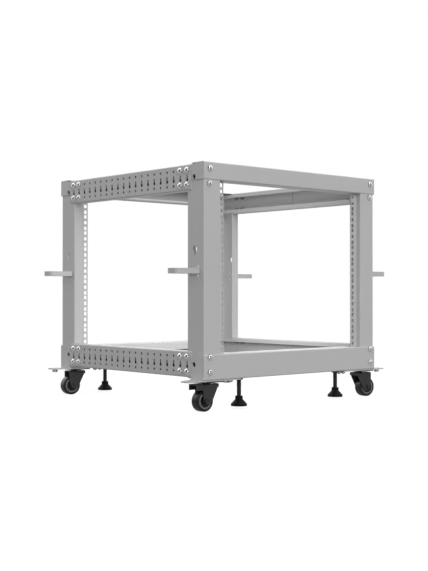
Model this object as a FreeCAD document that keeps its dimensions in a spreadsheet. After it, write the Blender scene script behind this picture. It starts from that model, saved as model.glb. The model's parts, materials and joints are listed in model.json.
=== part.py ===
import FreeCAD, Part
import os
import re
import Sketcher

# A four post open frame equipment rack, nine rack units tall, on four swivel casters with
# four levelling feet. It is bent from steel sheet and bolted together.
# Origin on the floor at the middle of the rack; +Z up, front towards -Y, left towards -X.
# One quarter of the frame is modelled towards +X and +Y, and the others are mirrored.

os.makedirs("parts", exist_ok=True)
doc = FreeCAD.newDocument("OpenFrameRack")

sizes = {
    # whole frame
    "rackWidth": 600.0,
    "rackDepth": 597.2,
    "sheetThick": 2.0,
    "bendRadius": 1.0,
    # rack unit grid
    "unitHeight": 44.45,
    "unitCount": 9,
    "unitMargin": 2.475,
    "holeColumnSpacing": 465.1,
    "flangeOpening": 450.8,
    "flangeWidth": 21.6,
    "squareHole": 9.5,
    "squareHoleStep": 15.875,
    # posts
    "postDepth": 60.0,
    "flangeSetback": 14.3,
    "returnFlange": 25.0,
    "earOverhang": 10.5,
    "postKeyholeBulb": 16.0,
    "postKeyholeSlot": 7.0,
    "postKeyholeDrop": 14.5,
    "postKeyholeDown": 158.0,
    # cable rings on the posts
    "ringWidth": 40.0,
    "ringReach": 70.0,
    "ringHeight": 12.5,
    "ringCorner": 12.0,
    "ringInset": 35.6,
    "ringDown": 209.0,
    "ringScrewHole": 4.5,
    "ringScrewAcross": 23.0,
    "ringScrewRise": 21.0,
    # front and rear beams
    "topBeamHeight": 41.5,
    "bottomBeamHeight": 60.0,
    "topBeamDepth": 45.0,
    "bottomBeamDepth": 50.0,
    "topBeamLip": 6.0,
    "bottomBeamLip": 22.0,
    "tabDepth": 45.0,
    "tabBevelLength": 20.0,
    "tabBevelRise": 5.5,
    "tabCorner": 4.0,
    "tabHole": 12.5,
    "tabHoleInset": 36.1,
    "notchGap": 1.4,
    "notchDepthGap": 2.2,
    # side rails
    "railHeight": 61.0,
    "railWidth": 27.0,
    "railLip": 12.0,
    "railAboveBase": 35.7,
    "railBelowTop": 33.6,
    "railTabGap": 0.6,
    "railPostGap": 1.0,
    "slotPitch": 25.0,
    "slotEndInset": 12.0,
    "railHole": 6.5,
    "railHoleRise": 17.5,
    "railSlot": 5.0,
    "railSlotTop": 6.5,
    "railBulb": 9.0,
    "railBulbDrop": 5.0,
    # inner rails, one from each corner to the middle of its side rail
    "innerRailGap": 0.8,
    "innerRailLip": 10.0,
    "innerRailLipGap": 1.0,
    "innerRailSeam": 1.0,
    "beamBoltInset": 16.0,
    # plates under the corners
    "plateThick": 3.0,
    "plateInnerInset": 118.0,
    "plateDepth": 46.0,
    "plateFrontInset": 2.6,
    "tongueReach": 45.0,
    "tongueTaper": 20.0,
    "tongueCorner": 4.0,
    "plateBoltEdge": 10.0,
    "plateBoltPitch": 16.0,
    "plateBoltHole": 6.6,
    "plateBoltInset": 28.6,
    "tongueHole": 9.0,
    "tongueHoleReach": 31.0,
    "tongueHoleInset": 18.6,
    # casters
    "casterHeight": 70.0,
    "casterSideInset": 33.0,
    "casterInset": 23.6,
    "headThick": 2.5,
    "headLength": 60.0,
    "headBoltSpacing": 25.2,
    "kingpin": 12.0,
    "kingpinRivet": 18.0,
    "kingpinBoss": 13.0,
    "pinClearance": 0.05,
    "raceGap": 0.3,
    "crownGap": 3.0,
    "crownInner": 20.0,
    "crownOuter": 27.0,
    "forkThick": 2.5,
    "forkWidth": 31.0,
    "hoodDepth": 18.5,
    "hoodInnerDepth": 8.5,
    "hoodStep": 3.0,
    "cheekReach": 18.5,
    "cheekFootReach": 13.5,
    "cheekFootOuter": 2.0,
    "axleLobe": 8.0,
    "wheelDiameter": 50.0,
    "wheelWidth": 22.0,
    "wheelTrail": 17.5,
    "treadRound": 2.5,
    "hubBoss": 18.0,
    "hubGap": 0.3,
    "discRadius": 18.5,
    "discRecess": 3.0,
    "axlePin": 8.0,
    "brakeReach": 48.0,
    "brakeDepth": 14.0,
    "brakeTongue": 11.0,
    "brakeCorner": 5.0,
    # how each caster stands turned about its own upright axis, in degrees
    "frontLeftTurn": 0.0,
    "frontRightTurn": -8.0,
    "rearLeftTurn": -6.0,
    "rearRightTurn": 0.0,
    # levelling feet
    "footSideInset": 130.0,
    "footInset": 22.6,
    "footStud": 10.0,
    "footStudReach": 22.0,
    "footHole": 11.0,
    "footLift": 5.5,
    "footPadDiameter": 39.0,
    "footPadRim": 5.0,
    "footConeHeight": 11.0,
    "footCollarDiameter": 18.5,
    "footCollarHeight": 8.0,
    "footSocket": 10.0,
    # cutting tools run past what they cut by this much
    "overcut": 1.0,
}

sheet = doc.addObject("Spreadsheet::Sheet", "Sizes")
for row, (alias, size) in enumerate(sizes.items(), start=1):
    sheet.set(f"A{row}", alias)
    sheet.set(f"B{row}", str(size))
    sheet.setAlias(f"B{row}", alias)
doc.recompute()


def formula(text):
    """Turn bare size names into references to the sheet."""
    def refer(word):
        return "Sizes." + word.group() if word.group() in sizes else word.group()
    return re.sub(r"[A-Za-z]\w*", refer, text)


def amount(text):
    return float(sheet.evalExpression(formula(text)))


def bind(item, name, text):
    item.setExpression(name, formula(text))


# Places along the width, measured from the middle plane
halfWidth = "(rackWidth / 2)"
sideOut = f"({halfWidth} - sheetThick)"
sideIn = f"({sideOut} - sheetThick)"
returnX = f"({sideOut} - returnFlange)"
flangeEnd = "(flangeOpening / 2)"
postInner = f"({flangeEnd} + flangeWidth)"
railInner = f"({halfWidth} - railWidth)"
innerRailOpen = f"({railInner} + sheetThick + innerRailLipGap)"
innerRailWeb = f"({sideIn} - sheetThick)"
beamBoltX = f"({sideOut} - beamBoltInset)"
plateInner = f"({halfWidth} - plateInnerInset)"
plateBoltX = f"({plateInner} + plateBoltEdge)"
tongueHoleX = f"({halfWidth} + tongueHoleReach)"
casterX = f"({halfWidth} - casterSideInset)"
footX = f"({halfWidth} - footSideInset)"

# Places along the depth
halfDepth = "(rackDepth / 2)"
faceOut = f"({halfDepth} - sheetThick)"
faceIn = f"({faceOut} - sheetThick)"
returnY = f"({faceOut} - postDepth)"
flangeFace = f"({faceOut} - flangeSetback)"
flangeBack = f"({flangeFace} - sheetThick)"
tabEnd = f"({halfDepth} - tabDepth)"
railEnd = f"({tabEnd} - railTabGap)"
railFlangeEnd = f"({returnY} - railPostGap)"
slotsEachWay = f"floor(({railEnd} - slotEndInset) / slotPitch + 0.5)"
slotColumns = f"(2 * {slotsEachWay})"
lastSlotY = f"(({slotColumns} - 1) * slotPitch / 2)"
innerBoltY = f"({lastSlotY} - slotPitch)"
earEnd = f"({innerBoltY} - earOverhang)"
ringY = f"({halfDepth} - ringInset)"
casterY = f"({halfDepth} - casterInset)"
footY = f"({halfDepth} - footInset)"

# Levels above the floor
underside = "(casterHeight + plateThick)"
bottomBeamTop = f"({underside} + bottomBeamHeight)"
bayFloor = f"({bottomBeamTop} + unitMargin)"
bayTop = f"({bayFloor} + unitCount * unitHeight)"
topBeamUnder = f"({bayTop} + unitMargin)"
rackTop = f"({topBeamUnder} + topBeamHeight)"
postBottom = f"({underside} + sheetThick + bendRadius)"
postTop = f"({rackTop} - sheetThick - bendRadius)"
lowRail = f"({underside} + railAboveBase)"
highRail = f"({rackTop} - railBelowTop)"
railHalf = "(railHeight / 2)"
earHalf = f"({railHalf} - sheetThick - bendRadius - railPostGap / 2)"
innerRailHalf = f"({railHalf} - sheetThick - innerRailGap)"
ringLevel = f"({bayTop} - ringDown)"
keyholeLevel = f"({bayTop} - postKeyholeDown)"


def originOf(body, role):
    return next(part for part in body.Origin.OriginFeatures if part.Role == role)


def newBody(name):
    return doc.addObject("PartDesign::Body", name)


def middleSketch(body, name, role, low, high):
    """A sketch on the plane half way between two places along its normal."""
    sketch = body.newObject("Sketcher::SketchObject", name)
    sketch.AttachmentSupport = [(originOf(body, role), "")]
    sketch.MapMode = "FlatFace"
    facing = "0 - " if role == "XZ_Plane" else ""
    bind(sketch, ".AttachmentOffset.Base.z", f"{facing}(({low}) + ({high})) / 2")
    return sketch


def holdPoint(sketch, item, end, across, up):
    """Tie one point of the sketch to two formulas measured from the origin."""
    for kind, text in (("DistanceX", across), ("DistanceY", up)):
        constraint = Sketcher.Constraint(kind, -1, 1, item, end, amount(text))
        bind(sketch, f"Constraints[{sketch.addConstraint(constraint)}]", text)


def drawLoop(sketch, corners):
    points = [FreeCAD.Vector(amount(across), amount(up), 0) for across, up in corners]
    sides = []
    for start, finish in zip(points, points[1:] + points[:1]):
        sides.append(sketch.addGeometry(Part.LineSegment(start, finish), False))
    for side, following in zip(sides, sides[1:] + sides[:1]):
        sketch.addConstraint(Sketcher.Constraint("Coincident", side, 2, following, 1))
    for side, (across, up) in zip(sides, corners):
        holdPoint(sketch, side, 1, across, up)


def drawCircle(sketch, across, up, diameter):
    centre = FreeCAD.Vector(amount(across), amount(up), 0)
    upright = FreeCAD.Vector(0, 0, 1)
    circle = sketch.addGeometry(Part.Circle(centre, upright, amount(diameter) / 2), False)
    holdPoint(sketch, circle, 3, across, up)
    constraint = Sketcher.Constraint("Diameter", circle, amount(diameter))
    bind(sketch, f"Constraints[{sketch.addConstraint(constraint)}]", diameter)


def rectangle(left, bottom, right, top):
    return [(left, bottom), (right, bottom), (right, top), (left, top)]


def shaped(kind, body, name, role, low, high, loops=(), circles=()):
    """A pad or pocket that runs between two places along its sketch's normal."""
    sketch = middleSketch(body, name + "Sketch", role, low, high)
    for corners in loops:
        drawLoop(sketch, corners)
    for across, up, diameter in circles:
        drawCircle(sketch, across, up, diameter)
    feature = body.newObject(kind, name)
    feature.Profile = sketch
    feature.SideType = "Symmetric"
    bind(feature, "Length", f"({high}) - ({low})")
    doc.recompute()
    return feature


def pad(*places, **drawings):
    return shaped("PartDesign::Pad", *places, **drawings)


def pocket(body, *places, **drawings):
    """A pocket, which has to take something away from the body."""
    before = body.Shape.Volume
    feature = shaped("PartDesign::Pocket", body, *places, **drawings)
    if feature.Shape.Volume >= before:
        raise RuntimeError(feature.Name + " cuts nothing")
    return feature


def mirrored(body, name, features, role):
    pattern = body.newObject("PartDesign::Mirrored", name)
    pattern.Originals = features
    pattern.MirrorPlane = (originOf(body, role), [""])
    body.Tip = pattern
    doc.recompute()
    return pattern


def repeated(body, name, features, role, pitch, count):
    pattern = body.newObject("PartDesign::LinearPattern", name)
    pattern.Originals = features
    pattern.Direction = (originOf(body, role), [""])
    pattern.Mode = "Spacing"
    bind(pattern, "Offset", pitch)
    bind(pattern, "Occurrences", count)
    body.Tip = pattern
    doc.recompute()
    return pattern


def rounded(body, name, radius, direction, corners):
    """Round the edges that run along one direction through the named corners."""
    base = body.Tip
    spots = [(amount(first), amount(second)) for first, second in corners]
    along = {"X": 0, "Y": 1, "Z": 2}[direction]
    chosen = []
    for number, edge in enumerate(base.Shape.Edges, start=1):
        start, finish = edge.Vertexes[0].Point, edge.Vertexes[-1].Point
        flat = [place for axis, place in enumerate(start) if axis != along]
        other = [place for axis, place in enumerate(finish) if axis != along]
        if abs(finish[along] - start[along]) < amount("overcut"):
            continue
        for spot in spots:
            distances = [abs(a - b) for a, b in zip(flat + other, spot + spot)]
            if max(distances) < amount("pinClearance"):
                chosen.append(f"Edge{number}")
    if not chosen:
        raise RuntimeError(name + " finds no edge")
    feature = body.newObject("PartDesign::Fillet", name)
    feature.Base = (base, chosen)
    bind(feature, "Radius", radius)
    doc.recompute()
    return feature


def makePost():
    """One bent post: return flange, side wall, front wall, step and mounting flange."""
    body = newBody("PostMaster")
    profile = [
        (returnX, returnY),
        (sideOut, returnY),
        (sideOut, faceOut),
        (postInner, faceOut),
        (postInner, flangeFace),
        (flangeEnd, flangeFace),
        (flangeEnd, flangeBack),
        (f"{postInner} + sheetThick", flangeBack),
        (f"{postInner} + sheetThick", faceIn),
        (sideIn, faceIn),
        (sideIn, f"{returnY} + sheetThick"),
        (returnX, f"{returnY} + sheetThick"),
    ]
    pad(body, "Sheet", "XY_Plane", postBottom, postTop, loops=[profile])
    rounded(body, "OuterBends", "bendRadius + sheetThick", "Z", [
        (sideOut, returnY),
        (sideOut, faceOut),
        (postInner, faceOut),
        (f"{postInner} + sheetThick", flangeBack),
    ])
    rounded(body, "InnerBends", "bendRadius", "Z", [
        (sideIn, f"{returnY} + sheetThick"),
        (sideIn, faceIn),
        (f"{postInner} + sheetThick", faceIn),
        (postInner, flangeFace),
    ])
    # the return flange is cut away where the side rails end
    notches = [
        rectangle(f"{returnX} - overcut", f"{postBottom} - overcut",
                  sideIn, f"{lowRail} + {railHalf} + railPostGap / 2"),
        rectangle(f"{returnX} - overcut", f"{highRail} - {railHalf} - railPostGap / 2",
                  sideIn, f"{postTop} + overcut"),
    ]
    pocket(body, "RailNotches", "XZ_Plane", f"{returnY} - overcut",
           f"{returnY} + sheetThick + overcut", loops=notches)
    # ears carry the rails' end bolts
    ears = [
        rectangle(earEnd, f"{level} - {earHalf}",
                  f"{returnY} + 2 * sheetThick + bendRadius", f"{level} + {earHalf}")
        for level in (lowRail, highRail)
    ]
    pad(body, "Ears", "YZ_Plane", sideIn, sideOut, loops=ears)
    boltHoles = [
        (spot, f"{level} {side} railHoleRise", "railHole")
        for spot in (lastSlotY, innerBoltY)
        for level in (lowRail, highRail)
        for side in "+-"
    ]
    pocket(body, "EarHoles", "YZ_Plane", f"{sideIn} - overcut", f"{sideOut} + overcut",
           circles=boltHoles)
    # screw holes for the beams, in the front wall
    pocket(body, "BeamHoles", "XZ_Plane", f"{faceIn} - overcut", f"{faceOut} + overcut",
           circles=[
               (beamBoltX, f"{level} {side} railHoleRise", "railHole")
               for level in (lowRail, highRail)
               for side in "+-"
           ])
    # side wall: cable keyhole, cable ring screws and the holes behind the beams' tabs
    pocket(body, "SideHoles", "YZ_Plane", f"{sideIn} - overcut", f"{sideOut} + overcut",
           circles=[(ringY, keyholeLevel, "postKeyholeBulb")] + [
               (f"{ringY} {across} ringScrewAcross / 2", f"{ringLevel} {up} ringScrewRise / 2",
                "ringScrewHole")
               for across in "+-"
               for up in "+-"
           ] + [
               (f"{halfDepth} - tabHoleInset", level, "tabHole")
               for level in (lowRail, highRail)
           ])
    pocket(body, "KeyholeSlot", "YZ_Plane", f"{sideIn} - overcut", f"{sideOut} + overcut",
           loops=[rectangle(f"{ringY} - postKeyholeSlot / 2",
                            f"{keyholeLevel} - postKeyholeDrop",
                            f"{ringY} + postKeyholeSlot / 2", keyholeLevel)])
    # three square holes in each rack unit
    column = "(holeColumnSpacing / 2)"
    squares = []
    for step in ("0 - squareHoleStep", "0", "squareHoleStep"):
        middle = f"({bayFloor} + unitHeight / 2 + ({step}))"
        squares.append(rectangle(f"{column} - squareHole / 2", f"{middle} - squareHole / 2",
                                 f"{column} + squareHole / 2", f"{middle} + squareHole / 2"))
    unit = pocket(body, "UnitHoles", "XZ_Plane", f"{flangeBack} - overcut",
                  f"{flangeFace} + overcut", loops=squares)
    repeated(body, "RackUnits", [unit], "Z_Axis", "unitHeight", "unitCount")
    return body


def makeBeam(name, low, high, depth, lip, notched, level, faceHoles, flangeHoles):
    """A bent beam across the rear: face, two lipped flanges, and a tab at each end.

    One flange, at the notched level, is cut round the posts; the other caps them.
    """
    body = newBody(name)
    back = f"({halfDepth} - {depth})"
    lipFront = f"({back} + sheetThick)"
    profile = [
        (halfDepth, low),
        (halfDepth, high),
        (back, high),
        (back, f"{high} - {lip}"),
        (lipFront, f"{high} - {lip}"),
        (lipFront, f"{high} - sheetThick"),
        (faceOut, f"{high} - sheetThick"),
        (faceOut, f"{low} + sheetThick"),
        (lipFront, f"{low} + sheetThick"),
        (lipFront, f"{low} + {lip}"),
        (back, f"{low} + {lip}"),
        (back, low),
    ]
    pad(body, "Sheet", "YZ_Plane", f"0 - {halfWidth}", halfWidth, loops=[profile])
    rounded(body, "OuterBends", "bendRadius + sheetThick", "X",
            [(halfDepth, low), (halfDepth, high), (back, high), (back, low)])
    rounded(body, "InnerBends", "bendRadius", "X", [
        (faceOut, f"{high} - sheetThick"),
        (faceOut, f"{low} + sheetThick"),
        (lipFront, f"{low} + sheetThick"),
        (lipFront, f"{high} - sheetThick"),
    ])
    notchX = f"({flangeEnd} - notchGap)"
    stepX = f"({postInner} - notchGap)"
    stepY = f"({flangeFace} + notchDepthGap)"
    ends = [
        pocket(body, "LipEnds", "XY_Plane", f"{low} + sheetThick", f"{high} - sheetThick",
               loops=[rectangle(f"{notchX} - notchGap", f"{back} - overcut",
                                f"{halfWidth} + overcut", f"{lipFront} + bendRadius")]),
        pocket(body, "PostNotch", "XY_Plane", f"{notched} - sheetThick - bendRadius",
               f"{notched} + sheetThick + bendRadius",
               loops=[[
                   (notchX, f"{back} - overcut"),
                   (f"{halfWidth} + overcut", f"{back} - overcut"),
                   (f"{halfWidth} + overcut", faceOut),
                   (stepX, faceOut),
                   (stepX, stepY),
                   (notchX, stepY),
               ]]),
    ]
    tabLow = f"({low} + bendRadius)"
    tabHigh = f"({high} - bendRadius)"
    ends.append(pad(body, "Tab", "YZ_Plane", sideOut, halfWidth, loops=[[
        (f"{tabEnd} + tabCorner", tabLow),
        (halfDepth, tabLow),
        (halfDepth, tabHigh),
        (f"{tabEnd} + tabBevelLength", tabHigh),
        (tabEnd, f"{tabHigh} - tabBevelRise"),
        (tabEnd, f"{tabLow} + tabCorner"),
    ]]))
    ends.append(pocket(body, "TabHole", "YZ_Plane", f"{sideOut} - overcut",
                       f"{halfWidth} + overcut",
                       circles=[(f"{halfDepth} - tabHoleInset", level, "tabHole")]))
    ends.append(pocket(body, "FaceHoles", "XZ_Plane", f"{faceOut} - overcut",
                       f"{halfDepth} + overcut", circles=faceHoles))
    if flangeHoles:
        ends.append(pocket(body, "FlangeHoles", "XY_Plane", f"{low} - overcut",
                           f"{low} + sheetThick + overcut", circles=flangeHoles))
    mirrored(body, "OtherEnd", ends, "YZ_Plane")
    return body


def makeTopBeam():
    return makeBeam("TopBeamMaster", topBeamUnder, rackTop, "topBeamDepth", "topBeamLip",
                    topBeamUnder, highRail,
                    [(beamBoltX, f"{highRail} + railHoleRise", "railHole")], [])


def makeBottomBeam():
    faceHoles = [
        (beamBoltX, f"{lowRail} {side} railHoleRise", "railHole") for side in "+-"
    ]
    return makeBeam("BottomBeamMaster", underside, bottomBeamTop, "bottomBeamDepth",
                    "bottomBeamLip", bottomBeamTop, lowRail, faceHoles,
                    [(footX, footY, "footHole")] + plateBolts())


def plateBolts():
    """Bolts through a corner plate: two into the beam and two that hold the caster."""
    beamRow = f"({halfDepth} - plateBoltInset)"
    return [
        (plateBoltX, beamRow, "plateBoltHole"),
        (f"{plateBoltX} + plateBoltPitch", beamRow, "plateBoltHole"),
        (casterX, f"{casterY} + headBoltSpacing / 2", "plateBoltHole"),
        (casterX, f"{casterY} - headBoltSpacing / 2", "plateBoltHole"),
    ]


def makeRail():
    """The lower right side rail: a lipped channel whose web ends lap the posts."""
    body = newBody("RailMaster")
    low = f"({lowRail} - {railHalf})"
    high = f"({lowRail} + {railHalf})"
    web = f"({halfWidth} - sheetThick)"
    lip = f"({railInner} + sheetThick)"
    profile = [
        (railInner, low),
        (halfWidth, low),
        (halfWidth, high),
        (railInner, high),
        (railInner, f"{high} - railLip"),
        (lip, f"{high} - railLip"),
        (lip, f"{high} - sheetThick"),
        (web, f"{high} - sheetThick"),
        (web, f"{low} + sheetThick"),
        (lip, f"{low} + sheetThick"),
        (lip, f"{low} + railLip"),
        (railInner, f"{low} + railLip"),
    ]
    pad(body, "Sheet", "XZ_Plane", f"0 - {railEnd}", railEnd, loops=[profile])
    rounded(body, "OuterBends", "bendRadius + sheetThick", "Y",
            [(halfWidth, low), (halfWidth, high), (railInner, high), (railInner, low)])
    rounded(body, "InnerBends", "bendRadius", "Y", [
        (web, f"{high} - sheetThick"),
        (web, f"{low} + sheetThick"),
        (lip, f"{low} + sheetThick"),
        (lip, f"{high} - sheetThick"),
    ])
    lapEnd = pocket(body, "LapEnd", "YZ_Plane", f"{railInner} - overcut", web,
                    loops=[rectangle(railFlangeEnd, f"{low} - overcut",
                                     f"{railEnd} + overcut", f"{high} + overcut")])
    mirrored(body, "OtherLapEnd", [lapEnd], "XZ_Plane")
    first = f"(0 - {lastSlotY})"
    bulb = f"({lowRail} - railBulbDrop)"
    through = (f"{web} - overcut", f"{halfWidth} + overcut")
    column = [
        pocket(body, "Holes", "YZ_Plane", *through, circles=[
            (first, f"{lowRail} + railHoleRise", "railHole"),
            (first, f"{lowRail} - railHoleRise", "railHole"),
            (first, bulb, "railBulb"),
        ]),
        pocket(body, "Slot", "YZ_Plane", *through, loops=[
            rectangle(f"{first} - railSlot / 2", bulb,
                      f"{first} + railSlot / 2", f"{lowRail} + railSlotTop"),
        ]),
    ]
    repeated(body, "Columns", column, "Y_Axis", "slotPitch", slotColumns)
    return body


def makeInnerRail():
    """The plain channel inside the side rail's rear half, bolted to rail and beam."""
    body = newBody("InnerRailMaster")
    low = f"({lowRail} - {innerRailHalf})"
    high = f"({lowRail} + {innerRailHalf})"
    lip = f"({innerRailOpen} + sheetThick)"
    front = f"({faceIn} - sheetThick)"
    profile = [
        (innerRailOpen, low),
        (sideIn, low),
        (sideIn, high),
        (innerRailOpen, high),
        (innerRailOpen, f"{high} - innerRailLip"),
        (lip, f"{high} - innerRailLip"),
        (lip, f"{high} - sheetThick"),
        (innerRailWeb, f"{high} - sheetThick"),
        (innerRailWeb, f"{low} + sheetThick"),
        (lip, f"{low} + sheetThick"),
        (lip, f"{low} + innerRailLip"),
        (innerRailOpen, f"{low} + innerRailLip"),
    ]
    pad(body, "Sheet", "XZ_Plane", "innerRailSeam / 2", f"{front} + sheetThick / 2",
        loops=[profile])
    pad(body, "FrontLeg", "XZ_Plane", front, faceIn, loops=[
        rectangle(f"{postInner} + sheetThick + innerRailLipGap", low,
                  f"{sideIn} - sheetThick / 2", high),
    ])
    pocket(body, "WebHoles", "YZ_Plane", f"{innerRailWeb} - overcut", f"{sideIn} + overcut",
           circles=[
               (spot, f"{lowRail} {side} railHoleRise", "railHole")
               for spot in (lastSlotY, innerBoltY)
               for side in "+-"
           ])
    pocket(body, "LegHoles", "XZ_Plane", f"{front} - overcut", f"{faceIn} + overcut",
           circles=[
               (beamBoltX, f"{lowRail} {side} railHoleRise", "railHole") for side in "+-"
           ])
    return body


def makeRing():
    """A cable ring: a closed loop of flat strip that stands out from the post's side."""
    body = newBody("RingMaster")
    low = f"({ringLevel} - ringHeight / 2)"
    high = f"({ringLevel} + ringHeight / 2)"
    far = f"({sideOut} + ringReach)"
    back = f"({ringY} - ringWidth / 2)"
    front = f"({ringY} + ringWidth / 2)"
    pad(body, "Strip", "XY_Plane", low, high, loops=[rectangle(sideOut, back, far, front)])
    pocket(body, "Loop", "XY_Plane", f"{low} - overcut", f"{high} + overcut", loops=[
        rectangle(f"{sideOut} + sheetThick", f"{back} + sheetThick",
                  f"{far} - sheetThick", f"{front} - sheetThick"),
    ])
    rounded(body, "FarCorners", "ringCorner", "Z", [(far, back), (far, front)])
    rounded(body, "FarInside", "ringCorner - sheetThick", "Z", [
        (f"{far} - sheetThick", f"{back} + sheetThick"),
        (f"{far} - sheetThick", f"{front} - sheetThick"),
    ])
    rounded(body, "NearCorners", "bendRadius + sheetThick", "Z",
            [(sideOut, back), (sideOut, front)])
    return body


def makeCornerPlate():
    """The plate bolted under a corner, with a tapered tongue past the rack's side."""
    body = newBody("CornerPlateMaster")
    front = f"({halfDepth} - plateFrontInset)"
    back = f"({front} - plateDepth)"
    tip = f"({halfWidth} + tongueReach)"
    low = "casterHeight"
    high = underside
    pad(body, "Plate", "XY_Plane", low, high, loops=[[
        (plateInner, back),
        (halfWidth, back),
        (tip, f"{back} + tongueTaper"),
        (tip, f"{front} - tongueCorner"),
        (f"{tip} - tongueCorner", front),
        (plateInner, front),
    ]])
    pocket(body, "BoltHoles", "XY_Plane", f"{low} - overcut", f"{high} + overcut",
           circles=plateBolts() + [
               (tongueHoleX, f"{halfDepth} - tongueHoleInset", "tongueHole"),
           ])
    return body


# A caster is modelled about its own swivel axis, with its wheel trailing towards +X
headLow = "(casterHeight - headThick)"
crownTop = f"({headLow} - crownGap)"
cheekOut = "(forkWidth / 2)"
cheekIn = f"({cheekOut} - forkThick)"
crownLow = f"({crownTop} - forkThick)"
axleLevel = "(wheelDiameter / 2)"


def turned(name, radius, low, high, lying=False):
    """A plain cylinder about the swivel axis or, lying, about the wheel's axle."""
    cylinder = doc.addObject("Part::Cylinder", name)
    bind(cylinder, "Radius", radius)
    bind(cylinder, "Height", f"({high}) - ({low})")
    if lying:
        cylinder.Placement.Rotation = FreeCAD.Rotation(FreeCAD.Vector(1, 0, 0), -90)
        bind(cylinder, "Placement.Base.x", "wheelTrail")
        bind(cylinder, "Placement.Base.y", low)
        bind(cylinder, "Placement.Base.z", axleLevel)
    else:
        bind(cylinder, "Placement.Base.z", low)
    return cylinder


def joined(name, pieces):
    union = doc.addObject("Part::MultiFuse", name)
    union.Shapes = pieces
    union.Refine = True
    return union


def without(name, base, tool):
    difference = doc.addObject("Part::Cut", name)
    difference.Base = base
    difference.Tool = tool
    difference.Refine = True
    return difference


def makeCasterHead():
    """The fixed plate with its boss, and the kingpin riveted under the fork's crown."""
    body = newBody("HeadPlate")
    halfLength = "(headLength / 2)"
    reach = "(plateDepth / 2)"
    pad(body, "Plate", "XY_Plane", headLow, "casterHeight", loops=[
        rectangle(f"0 - {halfLength}", f"0 - {reach}", halfLength, reach),
    ])
    pocket(body, "BoltHoles", "XY_Plane", f"{headLow} - overcut", "casterHeight + overcut",
           circles=[
               ("0", f"{side} headBoltSpacing / 2", "plateBoltHole")
               for side in ("0 + ", "0 - ")
           ])
    rivetTop = f"({crownLow} - raceGap)"
    return joined("HeadMaster", [
        body,
        turned("HeadBoss", "kingpinBoss / 2", f"{crownTop} + raceGap", "casterHeight"),
        turned("Kingpin", "kingpin / 2", rivetTop, "casterHeight"),
        turned("KingpinRivet", "kingpinRivet / 2", f"{rivetTop} - forkThick", rivetTop),
    ])


def makeFork():
    """The bent fork: a crown with a short skirt, two tapered cheeks and the axle pin."""
    body = newBody("ForkSheet")
    pad(body, "Cheeks", "XZ_Plane", f"0 - {cheekOut}", cheekOut, loops=[[
        ("0 - crownInner", crownTop),
        ("0 - crownInner", f"{crownTop} - hoodInnerDepth"),
        ("hoodStep - crownInner", f"{crownTop} - hoodInnerDepth"),
        ("wheelTrail - cheekReach", axleLevel),
        ("wheelTrail - cheekFootReach", f"{axleLevel} - axleLobe"),
        ("wheelTrail + cheekFootOuter", f"{axleLevel} - axleLobe"),
        ("wheelTrail + axleLobe", axleLevel),
        ("crownOuter", f"{crownTop} - hoodDepth"),
        ("crownOuter", crownTop),
    ]])
    rounded(body, "CrownBends", "bendRadius + forkThick", "X",
            [(f"0 - {cheekOut}", crownTop), (cheekOut, crownTop)])
    pocket(body, "WheelSpace", "XZ_Plane", f"0 - {cheekIn}", cheekIn, loops=[
        rectangle("forkThick - crownInner", "0 - overcut",
                  "crownOuter + overcut", crownLow),
    ])
    pocket(body, "KingpinHole", "XY_Plane", f"{crownLow} - overcut", f"{crownTop} + overcut",
           circles=[("0", "0", "kingpin + 2 * pinClearance")])
    return joined("ForkMaster", [
        body,
        turned("AxlePin", "axlePin / 2", f"0 - {cheekOut} - forkThick / 2",
               f"{cheekOut} + forkThick / 2", lying=True),
    ])


def makeWheel():
    """The wheel: a rounded tread, a recessed disc on each side and a hub boss."""
    halfTread = "(wheelWidth / 2)"
    solid = turned("Tread", "wheelDiameter / 2", f"0 - {halfTread}", halfTread, lying=True)
    doc.recompute()
    rims = [
        number for number, edge in enumerate(solid.Shape.Edges, start=1)
        if edge.Closed
    ]
    tread = doc.addObject("Part::Fillet", "RoundTread")
    tread.Base = solid
    tread.Edges = [(rim, amount("treadRound"), amount("treadRound")) for rim in rims]
    inner = f"({halfTread} - discRecess)"
    recesses = joined("DiscRecesses", [
        turned("NearRecess", "discRadius", f"0 - {halfTread} - overcut", f"0 - {inner}",
               lying=True),
        turned("FarRecess", "discRadius", inner, f"{halfTread} + overcut", lying=True),
    ])
    bossReach = f"({cheekIn} - hubGap)"
    hub = turned("Hub", "hubBoss / 2", f"0 - {bossReach}", bossReach, lying=True)
    bore = turned("AxleBore", "axlePin / 2 + pinClearance", f"0 - {cheekOut}", cheekOut,
                  lying=True)
    wheel = joined("WheelSolid", [without("Disc", tread, recesses), hub])
    return without("WheelMaster", wheel, bore)


def makeBrake():
    """The brake lever: an open ended channel that carries the fork's hood outward."""
    body = newBody("BrakeMaster")
    near = "(crownOuter + raceGap)"
    tongue = f"({near} - brakeTongue)"
    tongueTop = f"({crownLow} - raceGap)"
    bottom = f"({crownTop} - brakeDepth)"
    pad(body, "Lever", "XY_Plane", bottom, crownTop, loops=[
        rectangle(near, f"0 - {cheekOut}", "brakeReach", cheekOut),
    ])
    rounded(body, "EndCorners", "brakeCorner", "Z",
            [("brakeReach", cheekOut), ("brakeReach", f"0 - {cheekOut}")])
    pocket(body, "Hollow", "XZ_Plane", f"0 - {cheekIn}", cheekIn, loops=[
        rectangle(f"{near} - overcut", f"{bottom} - overcut",
                  "brakeReach + overcut", crownLow),
    ])
    # the tongue lies between the cheeks, close under the crown
    pad(body, "Tongue", "XY_Plane", f"{tongueTop} - forkThick", tongueTop, loops=[
        rectangle(tongue, f"0 - {cheekIn} + raceGap", f"{near} + forkThick",
                  f"{cheekIn} - raceGap"),
    ])
    pad(body, "Web", "YZ_Plane", near, f"{near} + forkThick", loops=[
        rectangle(f"0 - {cheekIn}", f"{tongueTop} - forkThick", cheekIn, crownTop),
    ])
    return body


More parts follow.
